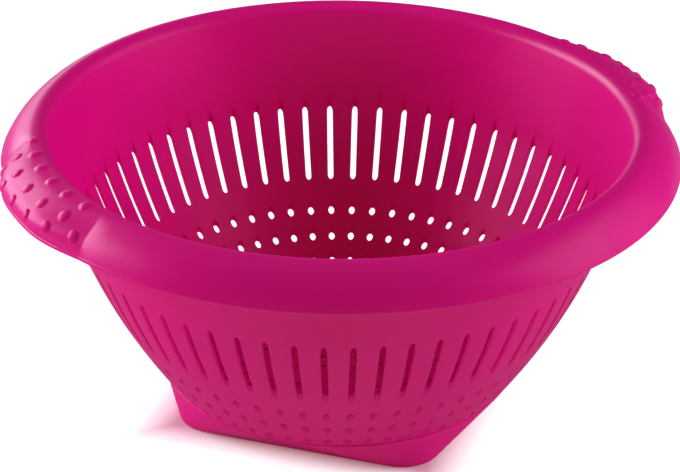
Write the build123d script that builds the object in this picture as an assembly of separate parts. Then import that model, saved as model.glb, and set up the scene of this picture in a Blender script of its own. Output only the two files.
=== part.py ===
# Colander with a turned-down rim, two studded hand grips and a square foot
# It is one plastic moulding. Each zone of it is a solid of its own, and the zones meet face to face.
# Millimetres. The origin is on the ground under the middle of the foot, +Z is up, +X runs through the grips.
from build123d import *
import math
import os

os.makedirs("parts", exist_ok=True)

# Bowl: its outer surface from the floor's edge up to the slots' top, then a straight leaning collar
# The wall below the waist has the round holes, the wall above it the slots, and the collar is plain
wall = 1.5
floor_radius = 61.0
floor_height = 9.0
seat_radius = 74.8
seat_height = 14.8
waist_radius = 92.4
waist_height = 42.4
belly_radius = 99.9
belly_height = 56.7
slot_top_radius = 110.0
slot_top_height = 80.8
collar_lean = 14.3
collar_foot_radius = 112.0
collar_height = 100.0

# Perforations, all drawn straight down
slot_count = 60
slot_width = 2.5
slot_foot_radius = 95.6
hole_diameter = 2.8
hole_row_radii = (89.2, 83.0, 76.8)
floor_hole_pitch = 8.4
floor_ring_count = 7
ring_step_count = 6
cut_overrun = 4.0

# Rim: it runs on from the collar, rolls over at the crest, then a wide flange turns down to a beaded lip
rim_wall = 1.8
crest_height = 126.6
roll_radius = 5.9
roll_end = 63.0
flange_radius = 25.6
flange_end = 23.4
bead_radius = 1.05

# Grips: stretches of the rim that swell outwards, slightly sunk, with three rows of studs
grip_half_angle = 22.0
middle_swell = 8.0
lip_swell = 4.0
swell_fullness = 1.3
grip_sink = 1.0
sink_start_angle = 18.6
sink_fade_angle = 2.6
sink_start_share = 0.16
grip_angles = (22.0, 20.0, 18.6, 17.4, 16.2, 14.0, 10.0, 5.0)
line_steps = 4
roll_steps = 9
flange_steps = 8
stud_length = 6.6
stud_breadth = 4.8
stud_height = 1.4
stud_pitch_angle = 5.8
stud_row_counts = (6, 5, 6)
stud_row_shares = (0.06, 0.32, 0.65)

# Foot: a skirt that turns from the bowl's circle to a square with large corners on the grips' line
foot_wall = 1.8
foot_half_side = 56.7
foot_corner_radius = 16.0
foot_turn = 45.0
foot_round_share = 0.99
foot_ledge = 0.3


def in_section(degrees):
    turn = math.radians(degrees)
    return Vector(math.cos(turn), 0, math.sin(turn))


slant = in_section(90 - collar_lean)
slant_side = in_section(180 - collar_lean)


def section_point(radius, height):
    return Vector(radius, 0, height)


# Outer surface between the seat and the slots' top, as an upper arc and a lower arc that runs on from it
def bowl_arcs():
    waist = section_point(waist_radius, waist_height)
    upper = Edge.make_three_point_arc(
        section_point(slot_top_radius, slot_top_height), section_point(belly_radius, belly_height), waist)
    lower = Edge.make_tangent_arc(waist, upper.tangent_at(1), section_point(seat_radius, seat_height))
    return upper, lower


# Unit vector from the outer surface to the inner one, where the surface turns from one direction to another
def inward(before, after):
    middle = (before.normalized() + after.normalized()).normalized()
    return Vector(middle.Z, 0, -middle.X)


# Closed outline between a stretch of the outer surface and the same stretch of the inner one
def wall_section(outer, inner):
    ends = [Edge.make_line(outer[0].position_at(0), inner[0].position_at(0))]
    ends.append(Edge.make_line(outer[-1].position_at(1), inner[-1].position_at(1)))
    return Face(Wire([*outer, *inner, *ends]))


def inner_point(edge, share):
    return edge.position_at(share) + inward(edge.tangent_at(share), edge.tangent_at(share)) * wall


def collar_foot():
    bend = section_point(slot_top_radius, slot_top_height)
    return bend + slant * ((collar_foot_radius - slot_top_radius) / slant.X)


def collar_section():
    foot = collar_foot()
    top = foot + slant * ((collar_height - foot.Z) / slant.Z)
    inner_foot = foot + slant_side * wall
    inner_top = inner_foot + slant * ((collar_height - inner_foot.Z) / slant.Z)
    return wall_section([Edge.make_line(foot, top)], [Edge.make_line(inner_foot, inner_top)])


def upper_section():
    upper = bowl_arcs()[0]
    foot = collar_foot()
    bend = upper.position_at(0)
    inner_foot = foot + slant_side * wall
    inner_bend = bend + inward(-slant, upper.tangent_at(0)) * wall
    inner_arc = Edge.make_three_point_arc(inner_bend, inner_point(upper, 0.5), inner_point(upper, 1))
    return wall_section([Edge.make_line(foot, bend), upper], [Edge.make_line(inner_foot, inner_bend), inner_arc])


def lower_section():
    upper, lower = bowl_arcs()
    seat = lower.position_at(1)
    edge = section_point(floor_radius, floor_height)
    inner_seat = seat + inward(lower.tangent_at(1), edge - seat) * wall
    inner_edge = section_point(floor_radius, floor_height + wall)
    inner_arc = Edge.make_three_point_arc(inner_point(upper, 1), inner_point(lower, 0.5), inner_seat)
    return wall_section([lower, Edge.make_line(seat, edge)], [inner_arc, Edge.make_line(inner_seat, inner_edge)])


def drilled(plans):
    return [extrude(Pos(0, 0, seat_height) * plan, collar_height - seat_height) for plan in plans]


def make_slotted_wall():
    slot = SlotOverall(slot_top_radius - slot_foot_radius, slot_width)
    middle_radius = (slot_top_radius + slot_foot_radius) / 2
    slots = [spot * slot for spot in PolarLocations(middle_radius, slot_count)]
    return revolve(upper_section(), Axis.Z) - drilled(slots)


def make_holed_wall():
    holes = []
    for row_radius in hole_row_radii:
        holes += [spot * Circle(hole_diameter / 2) for spot in PolarLocations(row_radius, slot_count)]
    return revolve(lower_section(), Axis.Z) - drilled(holes)


# The floor's holes stand in rings, each ring with six more holes than the one inside it
def make_floor():
    plate = extrude(Pos(0, 0, floor_height) * Circle(floor_radius), wall)
    drill = extrude(Pos(0, 0, floor_height - cut_overrun) * Circle(hole_diameter / 2), wall + 2 * cut_overrun)
    cutters = [drill]
    for ring in range(1, floor_ring_count + 1):
        cutters += [spot * drill for spot in PolarLocations(ring * floor_hole_pitch, ring * ring_step_count)]
    return plate - cutters


# Centre of the crest's roll, which touches the inner face of the collar
def roll_centre():
    height = crest_height - roll_radius
    outer = section_point(slot_top_radius, slot_top_height)
    inner = outer + slant_side * wall
    touch_height = height + roll_radius * slant_side.Z
    touch = inner + slant * ((touch_height - inner.Z) / slant.Z)
    return touch - slant_side * roll_radius


def flange_centre():
    return roll_centre() + in_section(roll_end) * (roll_radius - flange_radius)


def roll_point(degrees, depth):
    return roll_centre() + in_section(degrees) * (roll_radius - depth)


def flange_point(degrees, depth):
    return flange_centre() + in_section(degrees) * (flange_radius - depth)


# The lip's bead is a round a little thicker than the flange
def bead_tip(top_lip, under_lip, down):
    half_wall = rim_wall / 2
    return (top_lip + under_lip) / 2 + down * (bead_radius + math.sqrt(bead_radius**2 - half_wall**2))


# Point and normal of the surface along a section, from the collar (-1) over the crest (0) to the lip (1)
def rim_point(share):
    if share < 0:
        turn_span = 90 - collar_lean
        touch = roll_point(90 + turn_span, 0)
        foot = touch - slant * ((touch.Z - collar_height) / slant.Z)
        roll_share = roll_steps / (roll_steps + line_steps)
        if share > -roll_share:
            bearing = 90 - turn_span * share / roll_share
            return roll_point(bearing, 0), in_section(bearing)
        return touch + (foot - touch) * ((-share - roll_share) / (1 - roll_share)), slant_side
    roll_run = math.radians(90 - roll_end) * roll_radius
    flange_run = math.radians(roll_end - flange_end) * flange_radius
    run = share * (roll_run + flange_run)
    if run < roll_run:
        bearing = 90 - math.degrees(run / roll_radius)
        return roll_point(bearing, 0), in_section(bearing)
    bearing = roll_end - math.degrees((run - roll_run) / flange_radius)
    return flange_point(bearing, 0), in_section(bearing)


def smooth(value):
    value = min(max(value, 0), 1)
    return value * value * (3 - 2 * value)


# How far the grip's middle stands out: a parabola from the crest over the half way to the lip
def outward_swell(share):
    return 4 * middle_swell * share * (1 - share) + lip_swell * share * (2 * share - 1)


# The same point on a grip, where the flange swells outwards and the top sinks a little
def grip_point(share, angle):
    point, normal = rim_point(share)
    swell = outward_swell(max(share, 0)) * smooth(swell_fullness * (1 - abs(angle) / grip_half_angle))
    sink = grip_sink * smooth((sink_start_angle - abs(angle)) / sink_fade_angle)
    dip = sink * smooth(share / sink_start_share)
    return point + in_section(0) * swell - normal * dip, normal


def section_shares():
    before = roll_steps + line_steps
    shares = [step / before for step in range(-before, 0)]
    return shares + [step / flange_steps for step in range(flange_steps + 1)]


def grip_section(angle):
    places = [grip_point(share, angle) for share in section_shares()]
    top = [point for point, normal in places]
    under = [point - normal * rim_wall for point, normal in places]
    under[0] += slant * ((collar_height - under[0].Z) / slant.Z)
    tip = bead_tip(top[-1], under[-1], in_section(flange_end - 90))
    outline = Wire([
        Edge.make_spline(top),
        Edge.make_three_point_arc(top[-1], tip, under[-1]),
        Edge.make_spline(under[::-1]),
        Edge.make_line(under[0], top[0]),
    ])
    return Rot(0, 0, angle) * Face(outline)


def make_stud(share, angle):
    point, normal = grip_point(share, angle)
    along = Vector(normal.Z, 0, -normal.X)
    round_stud = Sphere(stud_height)
    stud = scale(round_stud, (stud_length / (2 * stud_height), stud_breadth / (2 * stud_height), 1))
    return Rot(0, 0, angle) * (Plane(origin=point, x_dir=along, z_dir=normal) * stud)


def make_grip():
    angles = [-angle for angle in grip_angles] + [0] + list(grip_angles[::-1])
    body = loft([grip_section(angle) for angle in angles])
    studs = []
    for count, share in zip(stud_row_counts, stud_row_shares):
        for number in range(count):
            studs.append(make_stud(share, (number - (count - 1) / 2) * stud_pitch_angle))
    return body + studs


def rim_section():
    edges = []
    for depth in (0, rim_wall):
        start = 180 - collar_lean
        touch = roll_point(start, depth)
        foot = touch - slant * ((touch.Z - collar_height) / slant.Z)
        knee = flange_point(roll_end, depth)
        lip = flange_point(flange_end, depth)
        edges.append(Edge.make_line(foot, touch))
        edges.append(Edge.make_three_point_arc(touch, roll_point((start + roll_end) / 2, depth), knee))
        edges.append(Edge.make_three_point_arc(knee, flange_point((roll_end + flange_end) / 2, depth), lip))
    top_lip = flange_point(flange_end, 0)
    under_lip = flange_point(flange_end, rim_wall)
    tip = bead_tip(top_lip, under_lip, in_section(flange_end - 90))
    edges.append(Edge.make_three_point_arc(top_lip, tip, under_lip))
    edges.append(Edge.make_line(edges[0].position_at(0), edges[3].position_at(0)))
    return Face(Wire(edges))


# The stretch of plain rim between the two grips
def make_rim(turn):
    return revolve(Rot(0, 0, turn + grip_half_angle) * rim_section(), Axis.Z, 180 - 2 * grip_half_angle)


def foot_prism(inset):
    half_side = foot_half_side - inset
    lower = RectangleRounded(2 * half_side, 2 * half_side, foot_corner_radius - inset)
    radius = seat_radius + foot_ledge - inset
    upper = Pos(0, 0, seat_height) * RectangleRounded(2 * radius, 2 * radius, foot_round_share * radius)
    return loft([lower, upper], ruled=True)


# The filled bowl that the foot is trimmed against
def bowl_fill():
    upper, lower = bowl_arcs()
    corners = [
        lower.position_at(1),
        section_point(floor_radius, floor_height),
        section_point(0, floor_height),
        section_point(0, slot_top_height),
        upper.position_at(0),
    ]
    sides = [Edge.make_line(start, end) for start, end in zip(corners, corners[1:])]
    return revolve(Face(Wire([upper, lower, *sides])), Axis.Z)


def make_foot():
    skirt = foot_prism(0) - foot_prism(foot_wall)
    return Rot(0, 0, foot_turn) * skirt - bowl_fill()


def save(shape, name):
    export_step(shape, f"parts/{name}.step")
    print(name, round(shape.volume), "mm3, solids", len(shape.solids()))


grip = make_grip()
save(grip, "grip_right")
save(Rot(0, 0, 180) * grip, "grip_left")
save(make_foot(), "foot")
save(make_rim(0), "rim_back")
save(make_rim(180), "rim_front")
save(make_floor(), "floor")
save(revolve(collar_section(), Axis.Z), "collar")
save(make_slotted_wall(), "bowl_upper")
save(make_holed_wall(), "bowl_lower")
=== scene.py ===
from math import atan2, cos, degrees, hypot, pi, radians, sin, sqrt, tan

import bmesh
import bpy
from mathutils import Matrix, Vector


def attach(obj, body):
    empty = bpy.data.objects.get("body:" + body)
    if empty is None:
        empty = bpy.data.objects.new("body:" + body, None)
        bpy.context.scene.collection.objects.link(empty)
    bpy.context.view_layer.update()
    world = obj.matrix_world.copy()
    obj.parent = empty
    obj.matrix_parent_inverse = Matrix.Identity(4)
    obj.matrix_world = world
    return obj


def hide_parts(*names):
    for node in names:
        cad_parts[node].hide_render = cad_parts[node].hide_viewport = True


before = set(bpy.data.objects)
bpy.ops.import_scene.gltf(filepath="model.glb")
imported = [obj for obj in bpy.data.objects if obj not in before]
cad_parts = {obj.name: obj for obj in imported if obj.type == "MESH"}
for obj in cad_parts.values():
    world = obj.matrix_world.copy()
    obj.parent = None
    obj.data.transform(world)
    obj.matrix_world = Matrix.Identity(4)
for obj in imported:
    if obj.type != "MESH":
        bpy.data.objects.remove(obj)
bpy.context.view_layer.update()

# lengths in the dictionaries are millimetres, angles are degrees
mm = 0.001
mergeGap = 0.01  # closer points of a shape in the making are one


def asMesh(bm, name, angle=50):
    # finished piece in metres at the origin, smooth but for its sharp edges
    bmesh.ops.remove_doubles(bm, verts=bm.verts[:], dist=0.002)
    bmesh.ops.recalc_face_normals(bm, faces=bm.faces[:])
    bmesh.ops.scale(bm, verts=bm.verts[:], vec=(mm, mm, mm))
    for face in bm.faces:
        face.smooth = True
    for edge in bm.edges:
        edge.smooth = len(edge.link_faces) == 2 and edge.calc_face_angle(0) < radians(angle)
    mesh = bpy.data.meshes.new(name)
    bm.to_mesh(mesh)
    bm.free()
    piece = bpy.data.objects.new(name, mesh)
    bpy.context.collection.objects.link(piece)
    return piece


def roundEdges(bm, edges, offset, segments):
    bmesh.ops.bevel(bm, geom=edges, offset=offset, offset_type="OFFSET", affect="EDGES",
                    segments=segments, profile=0.5, material=-1)


# the plastic: one material per piece, so that no two pieces cloud alike

plastic = {
    "deep": (0.740, 0.0022, 0.225, 1),
    "fresh": (0.800, 0.0028, 0.250, 1),
    "roughLow": 0.26,
    "roughHigh": 0.36,
    "grain": 1500.0,
    "cloud": 26.0,
    "bump": 0.05,
    "bumpDepth": 0.0001,
    "refraction": 1.42,
    "scatter": 0.12,  # share of light that wanders inside the wall
    "scatterReach": (0.004, 0.0006, 0.0016),
}


def pinkPlastic(name, seed):
    mat = bpy.data.materials.new(name)
    mat.use_nodes = True
    nodes, links = mat.node_tree.nodes, mat.node_tree.links
    shader = nodes["Principled BSDF"]
    place = nodes.new("ShaderNodeTexCoord")
    shift = nodes.new("ShaderNodeMapping")
    shift.inputs["Location"].default_value = (seed * 0.37, seed * 0.21, seed * 0.13)
    links.new(place.outputs["Object"], shift.inputs["Vector"])

    cloud = nodes.new("ShaderNodeTexNoise")  # slow drift of colour, as pigment mixes in the melt
    cloud.inputs["Scale"].default_value = plastic["cloud"]
    cloud.inputs["Detail"].default_value = 3
    links.new(shift.outputs["Vector"], cloud.inputs["Vector"])
    tint = nodes.new("ShaderNodeMix")
    tint.data_type = "RGBA"
    tint.inputs["A"].default_value = plastic["deep"]
    tint.inputs["B"].default_value = plastic["fresh"]
    links.new(cloud.outputs["Fac"], tint.inputs["Factor"])
    links.new(tint.outputs["Result"], shader.inputs["Base Color"])
    rough = nodes.new("ShaderNodeMapRange")
    rough.inputs["To Min"].default_value = plastic["roughLow"]
    rough.inputs["To Max"].default_value = plastic["roughHigh"]
    links.new(cloud.outputs["Fac"], rough.inputs["Value"])
    links.new(rough.outputs["Result"], shader.inputs["Roughness"])

    grain = nodes.new("ShaderNodeTexNoise")  # fine skin of the mould
    grain.inputs["Scale"].default_value = plastic["grain"]
    grain.inputs["Detail"].default_value = 2
    links.new(shift.outputs["Vector"], grain.inputs["Vector"])
    bump = nodes.new("ShaderNodeBump")
    bump.inputs["Strength"].default_value = plastic["bump"]
    bump.inputs["Distance"].default_value = plastic["bumpDepth"]
    links.new(grain.outputs["Fac"], bump.inputs["Height"])
    links.new(bump.outputs["Normal"], shader.inputs["Normal"])

    shader.inputs["IOR"].default_value = plastic["refraction"]
    shader.inputs["Subsurface Weight"].default_value = plastic["scatter"]
    shader.inputs["Subsurface Radius"].default_value = plastic["scatterReach"]
    shader.inputs["Subsurface Scale"].default_value = 1.0
    return mat


def dress(piece, mat, *nodes):
    piece.data.materials.clear()
    piece.data.materials.append(mat)
    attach(piece, "root")
    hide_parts(*nodes)


# bowl: one sector of the wall with a slot and three holes, turned round sixty times

bowl = {
    "wall": 1.5,
    "floorEdge": (61.0, 9.0),  # radius, height on the outer surface
    "seat": (74.8, 14.8),
    "waist": (92.4, 42.4),
    "belly": (99.9, 56.7),
    "bend": (110.0, 80.8),
    "lean": 14.3,
    "collarTop": 100.0,
    "openings": 60,
    "slotWidth": 2.5,
    "slotFoot": 95.6,
    "slotCellTop": 112.0,
    "holeSize": 2.8,
    "holeRows": (76.8, 83.0, 89.2),
    "rowEdges": (74.8, 79.9, 86.1, 92.4),
    "plainRings": (66.0, 71.0),
    "collarRings": 5,
    "capSteps": 8,
    "sideSteps": 6,
    "edgeRound": 0.45,
}


def circleThrough(a, b, c):
    d = 2 * (a[0] * (b[1] - c[1]) + b[0] * (c[1] - a[1]) + c[0] * (a[1] - b[1]))
    sa, sb, sc = (p[0] ** 2 + p[1] ** 2 for p in (a, b, c))
    x = (sa * (b[1] - c[1]) + sb * (c[1] - a[1]) + sc * (a[1] - b[1])) / d
    z = (sa * (c[0] - b[0]) + sb * (a[0] - c[0]) + sc * (b[0] - a[0])) / d
    return x, z, hypot(a[0] - x, a[1] - z)


def circleRunningOn(circle, start, end):
    # circle that touches another one at start and passes through end
    dx, dz = (circle[0] - start[0]) / circle[2], (circle[1] - start[1]) / circle[2]
    gapX, gapZ = start[0] - end[0], start[1] - end[1]
    size = -(gapX ** 2 + gapZ ** 2) / (2 * (dx * gapX + dz * gapZ))
    return start[0] + dx * size, start[1] + dz * size, size


lean = radians(bowl["lean"])
upperArc = circleThrough(bowl["bend"], bowl["belly"], bowl["waist"])
lowerArc = circleRunningOn(upperArc, bowl["waist"], bowl["seat"])
collarRadius = bowl["bend"][0] + (bowl["collarTop"] - bowl["bend"][1]) * tan(lean)
sectorHalf = radians(180 / bowl["openings"])


def arcHeight(arc, radius, depth):
    return arc[1] - sqrt((arc[2] - depth) ** 2 - (radius - arc[0]) ** 2)


def bowlHeight(radius, depth):
    # height of the bowl's surface over a point of the plan, depth inside the outer surface
    if radius > bowl["bend"][0] - depth:
        return bowl["bend"][1] + (radius - bowl["bend"][0]) / tan(lean) + depth / sin(lean)
    if radius > bowl["waist"][0] - 0.86 * depth:
        return arcHeight(upperArc, radius, depth)
    if radius > bowl["seat"][0] - 0.8 * depth:
        return arcHeight(lowerArc, radius, depth)
    run = bowl["seat"][0] - bowl["floorEdge"][0]
    rise = bowl["seat"][1] - bowl["floorEdge"][1]
    return bowl["floorEdge"][1] + (radius - bowl["floorEdge"][0]) * rise / run + depth * hypot(run, rise) / run


def addOpening(bm, low, high, capLow, capHigh, radius):
    # quads between an opening's outline and the edge of its patch of wall
    steps, sides = bowl["capSteps"], bowl["sideSteps"]
    long = capHigh > capLow
    stations = [(capHigh, high - capHigh, -90 + 180 * k / steps) for k in range(steps + 1)]
    if long:
        stations += [(capHigh + (capLow - capHigh) * k / sides, 0, 90) for k in range(1, sides)]
    first, last = (0, steps + 1) if long else (1, steps)
    stations += [(capLow, capLow - low, 90 + 180 * k / steps) for k in range(first, last)]
    if long:
        stations += [(capLow + (capHigh - capLow) * k / sides, 0, 270) for k in range(1, sides)]
    inner, outer = [], []
    for centre, reach, turn in stations:
        c, s = cos(radians(turn)), sin(radians(turn))
        wide = max(abs(c), abs(s))
        inner.append(bm.verts.new((centre + radius * c, radius * s, 0)))
        edgeRadius, edgeTurn = centre + reach * c / wide, sectorHalf * s / wide
        outer.append(bm.verts.new((edgeRadius * cos(edgeTurn), edgeRadius * sin(edgeTurn), 0)))
    spokes = []
    for k in range(len(inner)):
        n = (k + 1) % len(inner)
        bm.faces.new((inner[k], inner[n], outer[n], outer[k]))
        spokes.append(bm.edges.get((inner[k], outer[k])))
    bmesh.ops.subdivide_edges(bm, edges=spokes, cuts=1, use_grid_fill=True)


def addBand(bm, radii):
    # plain wall between rings of the plan, with the same divisions as a patch's edge
    quarter = sectorHalf * tan(radians(22.5))
    turns = [-sectorHalf, -quarter, 0, quarter, sectorHalf]
    rows = [[bm.verts.new((r * cos(t), r * sin(t), 0)) for t in turns] for r in radii]
    for lower, upper in zip(rows, rows[1:]):
        for k in range(len(turns) - 1):
            bm.faces.new((lower[k], upper[k], upper[k + 1], lower[k + 1]))


def wallPlan(bm):
    # the whole wall laid flat: one sector, then all of them
    edges, cellTop = bowl["rowEdges"], bowl["slotCellTop"]
    for centre, low, high in zip(bowl["holeRows"], edges, edges[1:]):
        addOpening(bm, low, high, centre, centre, bowl["holeSize"] / 2)
    cap = bowl["slotWidth"] / 2
    addOpening(bm, edges[-1], cellTop, bowl["slotFoot"] + cap, bowl["bend"][0] - cap, cap)
    addBand(bm, (bowl["floorEdge"][0], *bowl["plainRings"], edges[0]))
    rings = bowl["collarRings"]
    addBand(bm, [cellTop + (collarRadius - cellTop) * k / rings for k in range(rings + 1)])
    turns = bowl["openings"]
    bmesh.ops.spin(bm, geom=bm.verts[:] + bm.edges[:] + bm.faces[:], cent=(0, 0, 0), axis=(0, 0, 1),
                   steps=turns - 1, angle=2 * pi * (turns - 1) / turns, use_duplicate=True)
    bmesh.ops.remove_doubles(bm, verts=bm.verts[:], dist=mergeGap)


def raiseWall(bm, inside):
    # the flat plan's two skins go up to the bowl's outer and inner surface
    cellTop = bowl["slotCellTop"]
    innerStart = bowlHeight(cellTop, bowl["wall"])
    for v in bm.verts:
        radius = hypot(v.co.x, v.co.y)
        if v not in inside:
            v.co.z = bowlHeight(radius, 0)
        elif radius <= cellTop + mergeGap:
            v.co.z = bowlHeight(radius, bowl["wall"])
        else:  # above the slots the inner skin runs up the collar to the same top as the outer one
            share = (radius - cellTop) / (collarRadius - cellTop)
            v.co.z = innerStart + share * (bowl["collarTop"] - innerStart)
            wanted = cellTop + (v.co.z - innerStart) * tan(lean)
            v.co.x *= wanted / radius
            v.co.y *= wanted / radius


def bowlWall():
    bm = bmesh.new()
    wallPlan(bm)
    skin = bmesh.ops.extrude_face_region(bm, geom=bm.faces[:])
    raiseWall(bm, {v for v in skin["geom"] if isinstance(v, bmesh.types.BMVert)})
    bmesh.ops.recalc_face_normals(bm, faces=bm.faces[:])
    lips = []  # sharp edges of the slots and holes, not of the wall's own two ends
    for e in bm.edges:
        radius = hypot(*((e.verts[0].co + e.verts[1].co) / 2).xy)
        if bowl["rowEdges"][0] + 0.2 < radius < bowl["bend"][0] + 0.2 and e.calc_face_angle(0) > radians(40):
            lips.append(e)
    roundEdges(bm, lips, bowl["edgeRound"], 2)
    piece = asMesh(bm, "bowlWall")
    evenNormals = piece.modifiers.new("evenNormals", "WEIGHTED_NORMAL")
    evenNormals.keep_sharp = True
    return piece


print("bowl")
bowlPiece = bowlWall()
dress(bowlPiece, pinkPlastic("bowlPlastic", 1), "collar", "bowl_upper", "bowl_lower")


# floor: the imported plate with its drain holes' edges rounded

plate = {
    "edgeRound": 0.25,
    "brim": 0.5,  # the outermost strip meets the wall and keeps its edges
    "sharpEdge": 40,
}


def floorPlate():
    bm = bmesh.new()
    bm.from_mesh(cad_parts["floor"].data)
    bmesh.ops.scale(bm, verts=bm.verts[:], vec=(1 / mm, 1 / mm, 1 / mm))
    bmesh.ops.remove_doubles(bm, verts=bm.verts[:], dist=0.002)
    brims = [e for e in bm.edges if e.calc_face_angle(0) > radians(60)
             and hypot(*e.verts[0].co.xy) < bowl["floorEdge"][0] - plate["brim"]]
    roundEdges(bm, brims, plate["edgeRound"], 2)
    return asMesh(bm, "floorPlate", plate["sharpEdge"])


print("floor")
floorPiece = floorPlate()
dress(floorPiece, pinkPlastic("floorPlastic", 2), "floor")


# rim and grips: one closed section turned right round, then swelled, sunk and studded at the grips

rim = {
    "wall": 1.8,
    "crestHeight": 126.6,
    "rollRadius": 5.9,
    "rollEnd": 63.0,
    "flangeRadius": 25.6,
    "flangeEnd": 23.4,
    "beadRadius": 1.05,
    "rollShare": 0.7,
    "collarShares": (-1, -0.9, -0.8),
    "rollSteps": 14,
    "flangeSteps": 66,
    "beadSteps": 10,
    "underSteps": (13, 8),  # below the flange, below the roll
    # sweep in degrees and steps from one grip's end to the other's, and over a grip
    "stretches": ((136.0, 90), (1.4, 4), (3.4, 17), (34.4, 206), (3.4, 17), (1.4, 4)),
}

slant = Vector((sin(lean), 0, cos(lean)))  # up the collar
collarSide = 180 - bowl["lean"]  # from the roll's middle to the collar
innerBend = Vector((bowl["bend"][0], 0, bowl["bend"][1])) + Vector((-cos(lean), 0, sin(lean))) * bowl["wall"]


def aim(turn):
    return Vector((cos(radians(turn)), 0, sin(radians(turn))))


def rollCentre():
    side = aim(collarSide)
    touchHeight = rim["crestHeight"] - rim["rollRadius"] + rim["rollRadius"] * side.z
    touch = innerBend + slant * ((touchHeight - innerBend.z) / slant.z)
    return touch - side * rim["rollRadius"]


roll = rollCentre()
flange = roll + aim(rim["rollEnd"]) * (rim["rollRadius"] - rim["flangeRadius"])
rollRun = radians(90 - rim["rollEnd"]) * rim["rollRadius"]
flangeRun = radians(rim["rollEnd"] - rim["flangeEnd"]) * rim["flangeRadius"]


def sectionPoint(share):
    # point of the top surface and its normal, from the collar (-1) over the crest (0) to the lip (1)
    rollShare = rim["rollShare"]
    if share < -rollShare:
        side = aim(collarSide)
        touch = roll + side * rim["rollRadius"]
        line = slant * ((touch.z - bowl["collarTop"]) / slant.z)
        return touch - line * ((-share - rollShare) / (1 - rollShare)), side
    if share < 0:
        turn = 90 - (90 - bowl["lean"]) * share / rollShare
        return roll + aim(turn) * rim["rollRadius"], aim(turn)
    run = share * (rollRun + flangeRun)
    if run < rollRun:
        turn = 90 - degrees(run / rim["rollRadius"])
        return roll + aim(turn) * rim["rollRadius"], aim(turn)
    turn = rim["rollEnd"] - degrees((run - rollRun) / rim["flangeRadius"])
    return flange + aim(turn) * rim["flangeRadius"], aim(turn)


def beadPoints(count):
    # round lip a little thicker than the flange, from its top side to its underside
    top, normal = sectionPoint(1)
    half = rim["wall"] / 2
    drop = sqrt(rim["beadRadius"] ** 2 - half ** 2)
    centre = top - normal * half + aim(rim["flangeEnd"] - 90) * drop
    start = degrees(atan2((top - centre).z, (top - centre).x))
    sweep = 360 - 2 * degrees(atan2(half, drop))
    return [centre + aim(start - sweep * k / count) * rim["beadRadius"] for k in range(1, count)]


grip = {
    "half": 22.0,
    "middleSwell": 8.0,
    "lipSwell": 4.0,
    "fullness": 1.3,
    "sink": 1.35,
    "sinkSpread": 0.42,
    "creaseTurn": 17.6,
    "shoulderTurn": 4.4,
    # count, share of the way to the lip, turn of the row's middle, pitch in degrees
    "studRows": ((6, 0.06, -1.6, 5.8), (5, 0.32, -0.6, 6.0), (6, 0.65, 1.6, 5.5)),
    "studLength": 5.1,
    "studBreadth": 4.5,
    "studHeight": 0.9,
    "studRound": 0.96,
    "studReach": 1.08,
    "studFoot": 0.16,
}


def smooth(value):
    value = min(max(value, 0.0), 1.0)
    return value * value * (3 - 2 * value)


def outwardSwell(share):
    # how far a grip's middle stands out: a parabola from the crest over the half way to the lip
    share = max(share, 0)
    return 4 * grip["middleSwell"] * share * (1 - share) + grip["lipSwell"] * share * (2 * share - 1)


def rimPlace(share, turn, depth):
    point, normal = sectionPoint(share)
    reach = outwardSwell(share) * smooth(grip["fullness"] * (1 - abs(turn) / grip["half"]))
    past = min(max((abs(turn) - grip["creaseTurn"]) / grip["shoulderTurn"], 0), 1)
    dip = grip["sink"] * (1 - past) ** 2 * smooth(share / grip["sinkSpread"])
    place = point + Vector((reach, 0, 0)) - normal * (dip + depth)
    if share == -1:  # both skins end level on the collar
        place += slant * ((bowl["collarTop"] - place.z) / slant.z)
    return place, normal


def studLift(place, turn):
    # height of the nearest stud over a place on the grip, soft at its foot as a mould leaves it
    lift = 0.0
    for count, share, middle, pitch in grip["studRows"]:
        if (place - sectionPoint(share)[0]).length > grip["middleSwell"] + grip["studLength"]:
            continue
        for k in range(count):
            studTurn = middle + (k - (count - 1) / 2) * pitch
            across = radians(turn - studTurn) * place.x / (grip["studBreadth"] / 2)
            if abs(across) > grip["studReach"]:
                continue
            along = (place - rimPlace(share, studTurn, 0)[0]).length / (grip["studLength"] / 2)
            spare = grip["studReach"] - hypot(along, across)
            if spare > 0:
                dome = sqrt(max(0.0, 1 - (hypot(along, across) * grip["studRound"]) ** 2))
                lift = max(lift, grip["studHeight"] * dome * smooth(spare / grip["studFoot"]))
    return lift


def rimSection(bm, shares, depths):
    # closed outline of the rim: top side, bead, underside
    rollShare, underFlange, underRoll = rim["rollShare"], *rim["underSteps"]
    top = list(rim["collarShares"])
    top += [rollShare * (k / rim["rollSteps"] - 1) for k in range(rim["rollSteps"])]
    top += [k / rim["flangeSteps"] for k in range(rim["flangeSteps"] + 1)]
    under = [1 - k / underFlange for k in range(underFlange)]
    under += [-rollShare * k / underRoll for k in range(underRoll + 1)] + [-0.85, -1]
    verts = []
    for share in top:
        verts.append(bm.verts.new(sectionPoint(share)[0]))
        verts[-1][shares] = share
    for point in beadPoints(rim["beadSteps"]):
        verts.append(bm.verts.new(point))
        verts[-1][shares] = 2
    for share in under:
        point, normal = sectionPoint(share)
        thin = (rim["wall"] - bowl["wall"]) * max(0, (-share - rollShare) / (1 - rollShare))
        verts.append(bm.verts.new(point - normal * (rim["wall"] - thin)))
        verts[-1][shares], verts[-1][depths] = share, rim["wall"] - thin
    return verts


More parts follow.
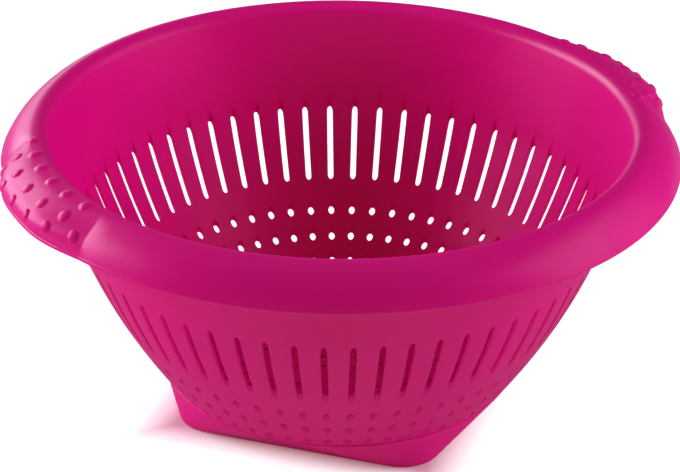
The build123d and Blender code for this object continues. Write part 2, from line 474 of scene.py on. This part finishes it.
def rimRing():
    bm = bmesh.new()
    shares = bm.verts.layers.float.new("share")
    depths = bm.verts.layers.float.new("depth")
    verts = rimSection(bm, shares, depths)
    edges = [bm.edges.new((v, verts[(k + 1) % len(verts)])) for k, v in enumerate(verts)]
    bmesh.ops.rotate(bm, verts=verts, cent=(0, 0, 0), matrix=Matrix.Rotation(radians(grip["half"]), 3, "Z"))
    for sweep, steps in rim["stretches"] * 2:
        spun = bmesh.ops.spin(bm, geom=verts + edges, cent=(0, 0, 0), axis=(0, 0, 1), angle=radians(sweep),
                              steps=steps)
        verts = [g for g in spun["geom_last"] if isinstance(g, bmesh.types.BMVert)]
        ring = set(verts)
        edges = list(dict.fromkeys(e for v in verts for e in v.link_edges if e.other_vert(v) in ring))
    bmesh.ops.remove_doubles(bm, verts=bm.verts[:], dist=mergeGap)

    lip = sectionPoint(1)[0]
    for v in bm.verts:
        azimuth = degrees(atan2(v.co.y, v.co.x))
        facing = 0 if abs(azimuth) < 90 else 180
        turn = (azimuth - facing + 180) % 360 - 180
        if abs(turn) > grip["half"] + 0.01:
            continue
        if v[shares] > 1.5:  # the bead keeps its round and goes where the lip goes
            place = Vector((hypot(v.co.x, v.co.y), 0, v.co.z)) + rimPlace(1, turn, 0)[0] - lip
        else:
            place, normal = rimPlace(v[shares], turn, v[depths])
            if not v[depths]:
                place += normal * studLift(place, turn)
        v.co = Matrix.Rotation(radians(turn + facing), 3, "Z") @ place
    return asMesh(bm, "rimRing")


print("rim and grips")
rimPiece = rimRing()
dress(rimPiece, pinkPlastic("rimPlastic", 3), "rim_front", "rim_back", "grip_right", "grip_left")


# foot: a skirt from the bowl's circle down to a square with large corners

foot = {
    "wall": 1.8,
    "halfSide": 56.7,
    "corner": 16.0,
    "turn": 45.0,
    "segments": 288,
    "rows": 8,
    "overlap": 0.12,  # the skirt starts this far outside the bowl
    "sunk": (0.4, 0.5),  # its inner top edge sinks into the bowl's wall, inwards and up
    "edgeRound": 0.5,
    "sharpEdge": 40,
}


def squareRadius(turn, halfSide, corner):
    # distance from the axis to a rounded square's edge, in a direction
    offSide = abs((turn - foot["turn"] + 45) % 90 - 45)
    c, s = cos(radians(offSide)), sin(radians(offSide))
    flat = halfSide - corner
    if halfSide * s / c <= flat:
        return halfSide / c
    reach = flat * (c + s)
    return reach + sqrt(max(0.0, corner ** 2 - 2 * flat ** 2 + reach ** 2))


def loopEdges(verts):
    return list(dict.fromkeys(e for v in verts for e in v.link_edges if len(e.link_faces) < 2))


def footSkirt():
    bm = bmesh.new()
    rows = foot["rows"]
    top = bmesh.ops.create_circle(bm, segments=foot["segments"], radius=1.0)["verts"]
    ring = loopEdges(top)
    rings = [top]
    for _ in range(2 * rows + 1):
        made = bmesh.ops.extrude_edge_only(bm, edges=ring)["geom"]
        ring = [g for g in made if isinstance(g, bmesh.types.BMEdge) and len(g.link_faces) == 1]
        rings.append([g for g in made if isinstance(g, bmesh.types.BMVert)])
    bmesh.ops.bridge_loops(bm, edges=loopEdges(top) + ring)
    upper = bowl["seat"][0] + foot["overlap"]
    upperCorner = upper * 0.99
    for level, verts in enumerate(rings):
        inside = level > rows
        share = (2 * rows + 1 - level if inside else level) / rows  # 0 at the bowl, 1 on the ground
        inset = foot["wall"] if inside else 0
        halfSide = upper + (foot["halfSide"] - upper) * share - inset
        corner = upperCorner + (foot["corner"] - upperCorner) * share - inset
        for v in verts:
            turn = degrees(atan2(v.co.y, v.co.x))
            radius = squareRadius(turn, halfSide, corner)
            height = bowl["seat"][1] * (1 - share)
            v.co = Vector((radius * cos(radians(turn)), radius * sin(radians(turn)), height))
    for v in rings[-1]:
        v.co.xy *= (bowl["seat"][0] - foot["sunk"][0]) / v.co.xy.length
        v.co.z = bowl["seat"][1] + foot["sunk"][1]
    bmesh.ops.recalc_face_normals(bm, faces=bm.faces[:])
    brink = [e for e in bm.edges if max(v.co.z for v in e.verts) < 0.01 and e.calc_face_angle(0) > radians(25)]
    roundEdges(bm, brink, foot["edgeRound"], 3)
    return asMesh(bm, "footSkirt", foot["sharpEdge"])


print("foot")
footPiece = footSkirt()
dress(footPiece, pinkPlastic("footPlastic", 6), "foot")


# studio: soft boxes, pale air and a sheet of white paper

camera = {  # fitted to the slots' ends and the outline in the photograph
    "distance": 1.0795,
    "elevation": 27.16,
    "turn": 26.77,  # how far the right grip points away from the camera
    "roll": 0.39,
    "aimHeight": 0.0808,
    "lens": 136.53,
    "sensor": 36.0,
    "shiftX": -0.0010,
    "shiftY": -0.0285,
}
right = Vector((cos(radians(camera["turn"])), -sin(radians(camera["turn"])), 0))  # as the camera sees it
away = Vector((sin(radians(camera["turn"])), cos(radians(camera["turn"])), 0))

studio = {
    "lampColour": (1.0, 0.97, 1.16, 1),
    "fillColour": (1.0, 0.84, 0.56, 1),  # warm fill from the front, the air and the floor
    "plainWhite": (1, 1, 1, 1),
    "aimHeight": 0.08,
    "sky": 0.10,
    "skyShine": 0.06,  # the same air as glossy surfaces see it
}

# place to the right, away and up, size, watts, colour, lights matt surfaces, shows as a gleam
lamps = {
    "leftFill": ((-1.15, 0.1, 0.5), (1.0, 0.8), 13.8, "lampColour", True, False),
    "leftGleam": ((-1.1, 0.5, 0.6), (1.3, 0.6), 12.0, "lampColour", False, True),
    "rightFill": ((1.2, 0.0, 0.62), (1.0, 0.8), 13.0, "lampColour", True, False),
    "rightGleam": ((1.2, 0.0, 0.62), (1.2, 1.0), 2.5, "lampColour", False, True),
    "backGleam": ((-0.62, 1.23, 0.25), (0.9, 0.45), 1.8, "lampColour", False, True),
    "topFill": ((0.0, 0.1, 1.3), (1.2, 1.0), 1.3, "fillColour", True, False),
    "frontFill": ((0.0, -1.3, 0.32), (1.4, 0.3), 1.2, "fillColour", True, False),
}


def softBox(name, spot, size, watts, tone, matt, gleam):
    light = bpy.data.lights.new(name, "AREA")
    light.shape = "RECTANGLE"
    light.size, light.size_y = size
    light.energy = watts
    light.color = studio[tone][:3]
    lamp = bpy.data.objects.new(name, light)
    bpy.context.collection.objects.link(lamp)
    sideways, backward, up = spot
    lamp.location = right * sideways + away * backward + Vector((0, 0, up))
    sight = Vector((0, 0, studio["aimHeight"])) - lamp.location
    lamp.rotation_euler = sight.to_track_quat("-Z", "Y").to_euler()
    lamp.visible_diffuse = matt
    lamp.visible_glossy = gleam


def byRay(nodes, links, ray, first, second):
    # one colour for most rays, another for the rays named
    rays = nodes.new("ShaderNodeLightPath")
    mix = nodes.new("ShaderNodeMix")
    mix.data_type = "RGBA"
    mix.inputs["A"].default_value = first
    mix.inputs["B"].default_value = second
    links.new(rays.outputs[ray], mix.inputs["Factor"])
    return mix.outputs["Result"]


def studioAir():
    world = bpy.data.worlds.new("studioAir")
    bpy.context.scene.world = world
    world.use_nodes = True
    nodes, links = world.node_tree.nodes, world.node_tree.links
    air = nodes["Background"]
    rays = nodes.new("ShaderNodeLightPath")
    shine = nodes.new("ShaderNodeMapRange")
    shine.inputs["To Min"].default_value = studio["sky"]
    shine.inputs["To Max"].default_value = studio["skyShine"]
    links.new(rays.outputs["Is Glossy Ray"], shine.inputs["Value"])
    level = nodes.new("ShaderNodeMapRange")  # white where the camera sees it
    level.inputs["To Max"].default_value = 1.0
    links.new(shine.outputs["Result"], level.inputs["To Min"])
    links.new(rays.outputs["Is Camera Ray"], level.inputs["Value"])
    links.new(level.outputs["Result"], air.inputs["Strength"])
    tone = byRay(nodes, links, "Is Camera Ray", studio["fillColour"], studio["plainWhite"])
    links.new(tone, air.inputs["Color"])


paper = {
    "halfSize": 6.0,
    "colour": (0.66, 0.66, 0.66, 1),
    "shine": (0.30, 0.28, 0.29, 1),  # the paper as glossy surfaces see it
    "glow": 0.78,
    "fade": (0.4, 1.6),  # far from the object the paper glows fully white
    "bounce": 0.28,
    "footShade": (0.0550, 0.0700),  # from the foot's middle: the glow begins outside its square
    "paintedGlowUnderFoot": (0.22, 0.001, 0.040, 1),  # painted pink glow on the paper under the foot, standing in for what little light the plastic lets through
}


def mathNode(nodes, kind, operation):
    node = nodes.new(kind)
    node.operation = operation
    return node


def studioPaper():
    mat = bpy.data.materials.new("studioPaper")
    mat.use_nodes = True
    nodes, links = mat.node_tree.nodes, mat.node_tree.links
    shader = nodes["Principled BSDF"]
    shader.inputs["Roughness"].default_value = 0.9
    shader.inputs["Specular IOR Level"].default_value = 0.0
    colour = byRay(nodes, links, "Is Glossy Ray", paper["colour"], paper["shine"])
    links.new(colour, shader.inputs["Base Color"])

    place = nodes.new("ShaderNodeTexCoord")
    rays = nodes.new("ShaderNodeLightPath")
    reach = mathNode(nodes, "ShaderNodeVectorMath", "LENGTH")
    links.new(place.outputs["Object"], reach.inputs[0])
    fade = nodes.new("ShaderNodeMapRange")
    fade.inputs["From Min"].default_value, fade.inputs["From Max"].default_value = paper["fade"]
    fade.inputs["To Min"].default_value = paper["glow"]
    fade.inputs["To Max"].default_value = 1.0
    links.new(reach.outputs["Value"], fade.inputs["Value"])
    seen = mathNode(nodes, "ShaderNodeMath", "MULTIPLY")
    links.new(rays.outputs["Is Camera Ray"], seen.inputs[0])
    links.new(fade.outputs["Result"], seen.inputs[1])
    bounced = mathNode(nodes, "ShaderNodeMath", "MULTIPLY_ADD")
    bounced.inputs[1].default_value = paper["bounce"]
    links.new(rays.outputs["Is Diffuse Ray"], bounced.inputs[0])
    links.new(seen.outputs["Value"], bounced.inputs[2])
    links.new(bounced.outputs["Value"], shader.inputs["Emission Strength"])

    fold = mathNode(nodes, "ShaderNodeVectorMath", "ABSOLUTE")
    links.new(place.outputs["Object"], fold.inputs[0])
    sideways = mathNode(nodes, "ShaderNodeVectorMath", "DOT_PRODUCT")  # distance towards the foot's side
    sideways.inputs[1].default_value = (cos(radians(foot["turn"])), sin(radians(foot["turn"])), 0)
    links.new(fold.outputs["Vector"], sideways.inputs[0])
    clear = nodes.new("ShaderNodeMapRange")
    clear.inputs["From Min"].default_value, clear.inputs["From Max"].default_value = paper["footShade"]
    links.new(sideways.outputs["Value"], clear.inputs["Value"])
    # painted pink glow on the paper under the foot, the white glow outside it
    glow = nodes.new("ShaderNodeMix")
    glow.data_type = "RGBA"
    glow.inputs["A"].default_value = paper["paintedGlowUnderFoot"]
    links.new(clear.outputs["Result"], glow.inputs["Factor"])
    tone = byRay(nodes, links, "Is Camera Ray", studio["fillColour"], studio["plainWhite"])
    links.new(tone, glow.inputs["B"])
    links.new(glow.outputs["Result"], shader.inputs["Emission Color"])
    return mat


def studioFloor():
    bm = bmesh.new()
    bmesh.ops.create_grid(bm, x_segments=2, y_segments=2, size=paper["halfSize"])
    mesh = bpy.data.meshes.new("studioFloor")
    bm.to_mesh(mesh)
    bm.free()
    mesh.materials.append(studioPaper())
    sheet = bpy.data.objects.new("studioFloor", mesh)
    bpy.context.collection.objects.link(sheet)
    return sheet


def photoCamera():
    lens = bpy.data.cameras.new("photoCamera")
    lens.sensor_width = camera["sensor"]
    lens.lens = camera["lens"]
    lens.shift_x = camera["shiftX"]
    lens.shift_y = camera["shiftY"]
    lens.clip_end = 50
    body = bpy.data.objects.new("photoCamera", lens)
    bpy.context.collection.objects.link(body)
    elevation = radians(camera["elevation"])
    back = -away * cos(elevation) + Vector((0, 0, sin(elevation)))
    body.location = Vector((0, 0, camera["aimHeight"])) + back * camera["distance"]
    facing = Matrix((right, back.cross(right), back)).transposed()
    body.rotation_euler = (facing @ Matrix.Rotation(radians(camera["roll"]), 3, "Z")).to_euler()
    return body


print("studio")
for name, setting in lamps.items():
    softBox(name, *setting)
studioAir()
studioFloor()

print("camera")
bpy.context.scene.camera = photoCamera()
bpy.context.scene.view_settings.view_transform = "Standard"

print("finish")
